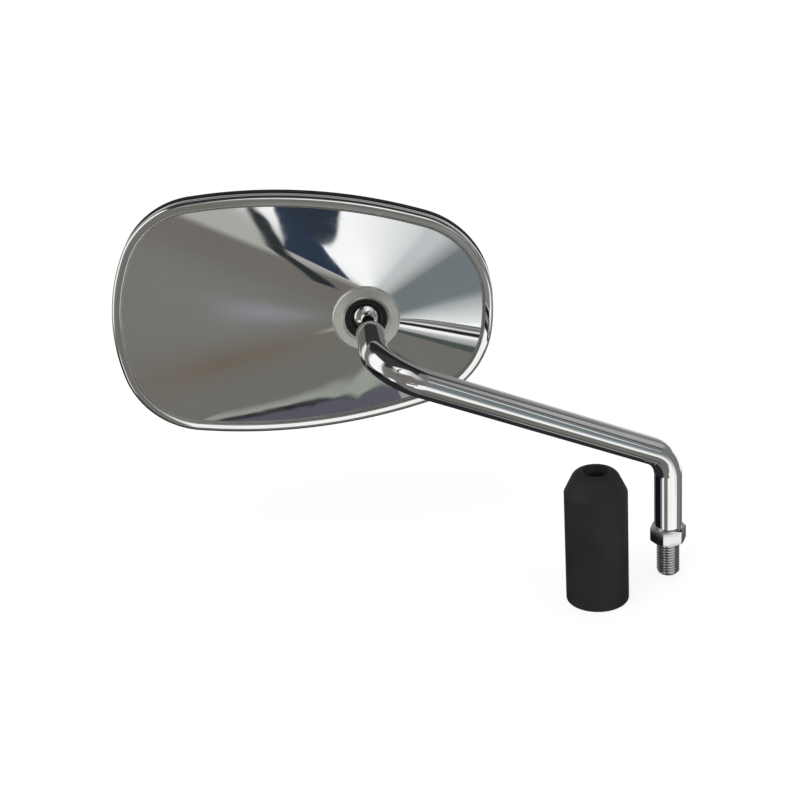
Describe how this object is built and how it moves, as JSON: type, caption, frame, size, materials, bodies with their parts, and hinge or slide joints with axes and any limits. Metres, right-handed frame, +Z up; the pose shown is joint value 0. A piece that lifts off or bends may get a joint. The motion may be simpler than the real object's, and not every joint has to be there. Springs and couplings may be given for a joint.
{
  "type": "motorcycle mirror",
  "caption": "Chromed handlebar mirror: rounded conical back and convex glass on a ball joint, bent round arm with a threaded stud and lock nut, and a loose rubber boot.",
  "frame": {"origin": "on the stem axis at the lower face of the lock nut, where the mirror meets its perch", "axes": "+Z up along the stem, +Y the way the glass faces, -X towards the head, so it is the rider's right-hand mirror"},
  "size_m": [0.2439, 0.0905, 0.1753],
  "materials": {
    "chrome_steel": "bright chrome plate on steel bar",
    "plated_nut": "bright plated steel",
    "chrome_shell": "bright chrome plate on a plastic moulding",
    "boot_rubber": "matt black moulded rubber",
    "seal_rubber": "matt black rubber",
    "mirror_glass": "convex silvered glass",
    "nylon": "natural nylon",
    "spring_steel": "oiled spring steel",
    "zinc_steel": "zinc plated steel",
    "foam": "closed-cell foam"
  },
  "bodies": {
    "arm": {"mirror_arm": "chrome_steel", "rubber_boot": "boot_rubber"},
    "nut": {"lock_nut": "plated_nut"},
    "seat": {"rear_ball_seat": "nylon"},
    "cup": {"pressure_cup": "nylon"},
    "head": {"back_shell": "chrome_shell", "front_ball_seat": "nylon", "disc_spring": "spring_steel", "clamp_plate": "zinc_steel", "clamp_screws": "zinc_steel", "dust_seal": "seal_rubber", "mirror_glass": "mirror_glass", "rim_gasket": "seal_rubber", "foam_backing": "foam"}
  },
  "joints": [
    {"name": "lock_nut_turn", "type": "hinge", "parent": "arm", "child": "nut", "pos_m": [0, 0, 0], "axis": [0, 0, 1], "continuous": true},
    {"name": "head_swivel", "type": "hinge", "parent": "arm", "child": "seat", "pos_m": [-0.1255, 0.019, 0.108], "axis": [0, 0, 1], "range_deg": [-12, 12]},
    {"name": "head_tilt", "type": "hinge", "parent": "seat", "child": "cup", "pos_m": [-0.1255, 0.019, 0.108], "axis": [1, 0, 0], "range_deg": [-12, 12]},
    {"name": "head_spin", "type": "hinge", "parent": "cup", "child": "head", "pos_m": [-0.1255, 0.019, 0.108], "axis": [0, 1, 0], "continuous": true}
  ]
}
